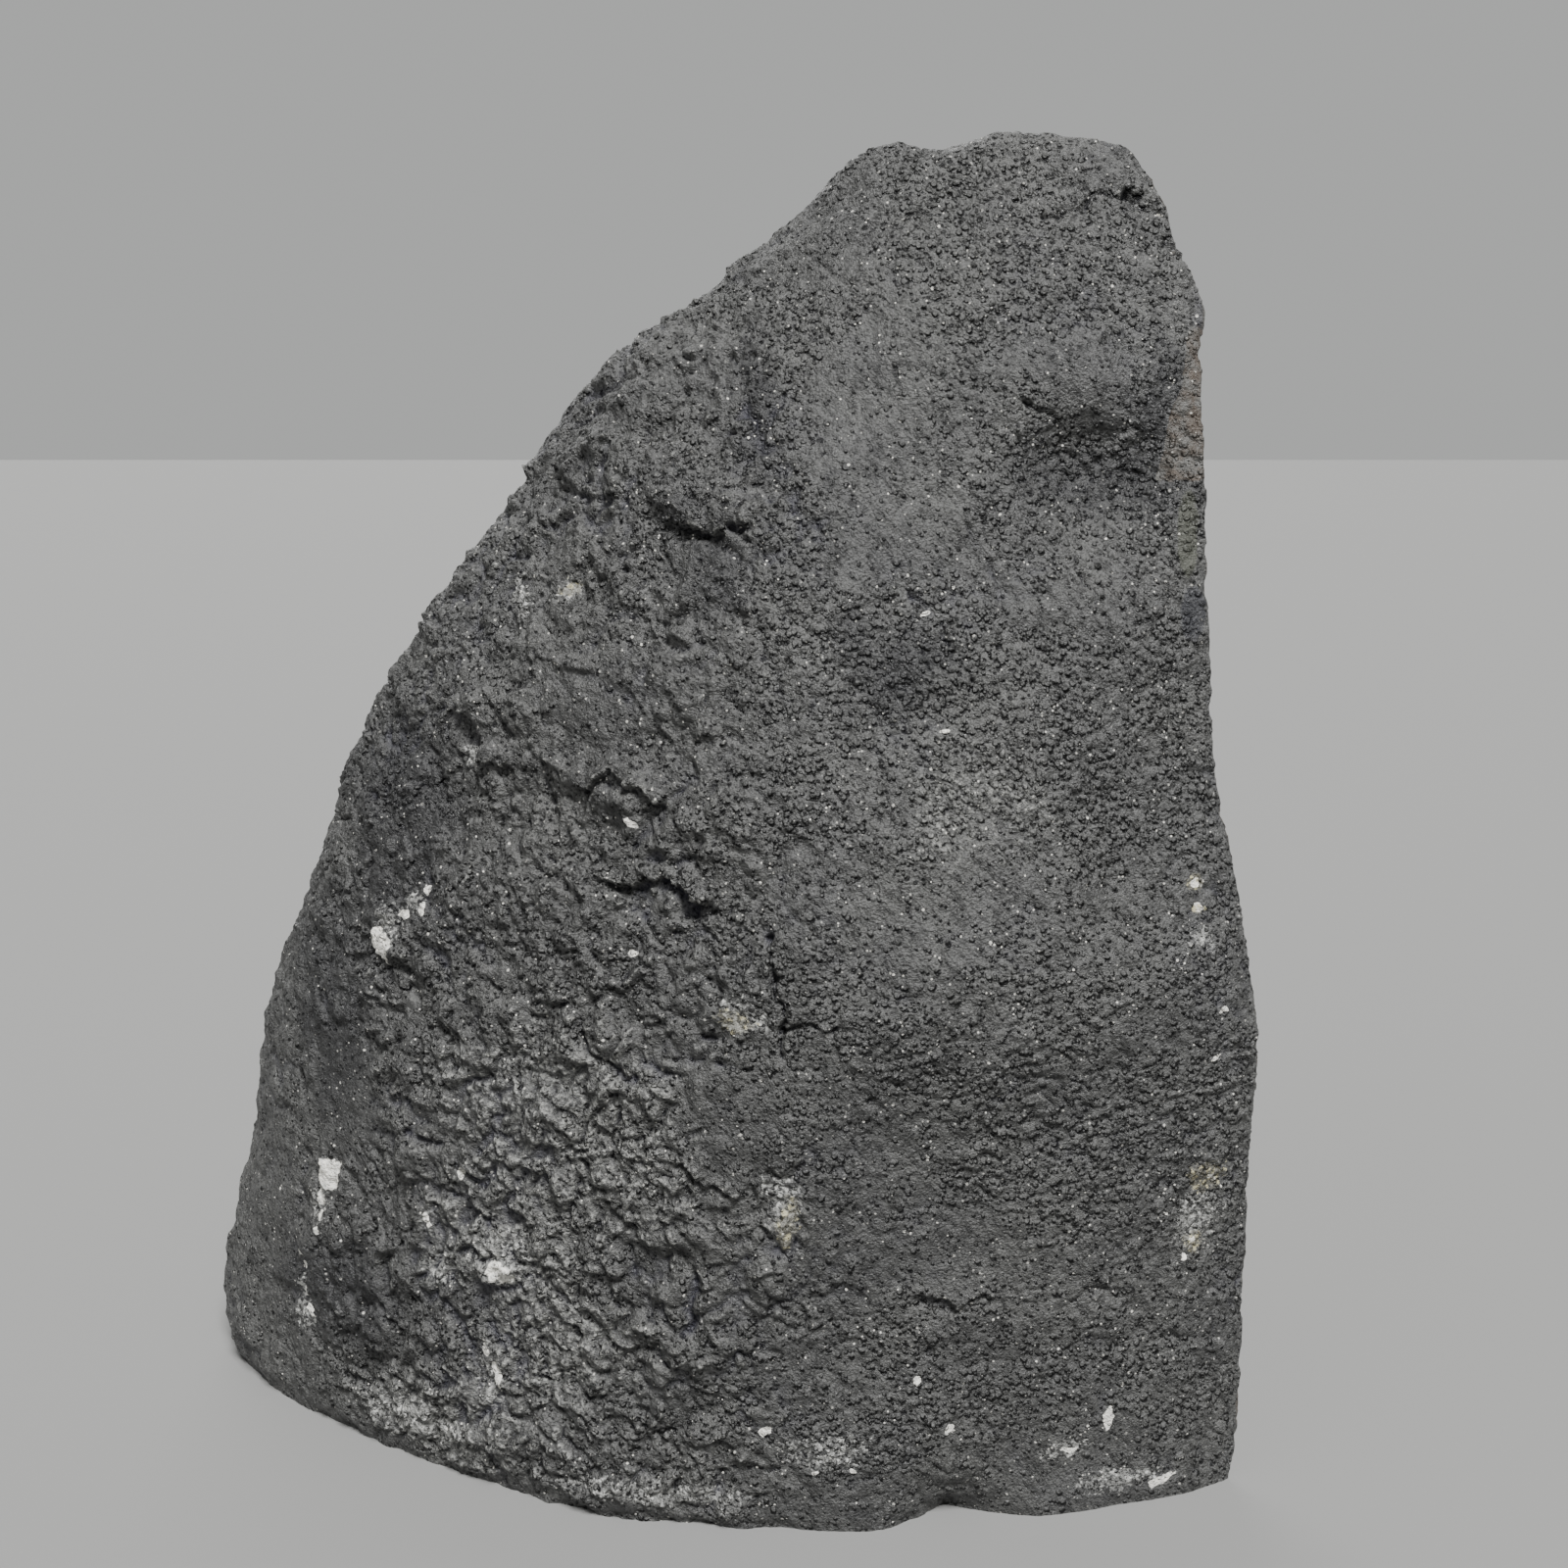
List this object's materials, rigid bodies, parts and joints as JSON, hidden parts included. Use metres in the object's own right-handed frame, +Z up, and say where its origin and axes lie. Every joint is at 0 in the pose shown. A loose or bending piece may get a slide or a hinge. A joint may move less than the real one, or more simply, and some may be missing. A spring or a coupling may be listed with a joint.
{
  "type": "rough standing stone",
  "caption": "Tall rough dark stone, fin shaped, with a curved left shoulder, a sharp right rim, a split face behind it and a sawn base that it stands on.",
  "frame": {"origin": "middle of the bounding box's bottom, which lies in the plane of the sawn base", "axes": "+Z up, +X to the stone's right as its weathered front is seen, +Y from the weathered front to the back"},
  "size_m": [0.1856, 0.1104, 0.2211],
  "materials": {
    "dark_stone": "rough matt charcoal skin with a sandy grain, pale mineral chips and dust, bare grey stone on the split face"
  },
  "bodies": {
    "root": {"stone": "dark_stone"}
  },
  "joints": []
}
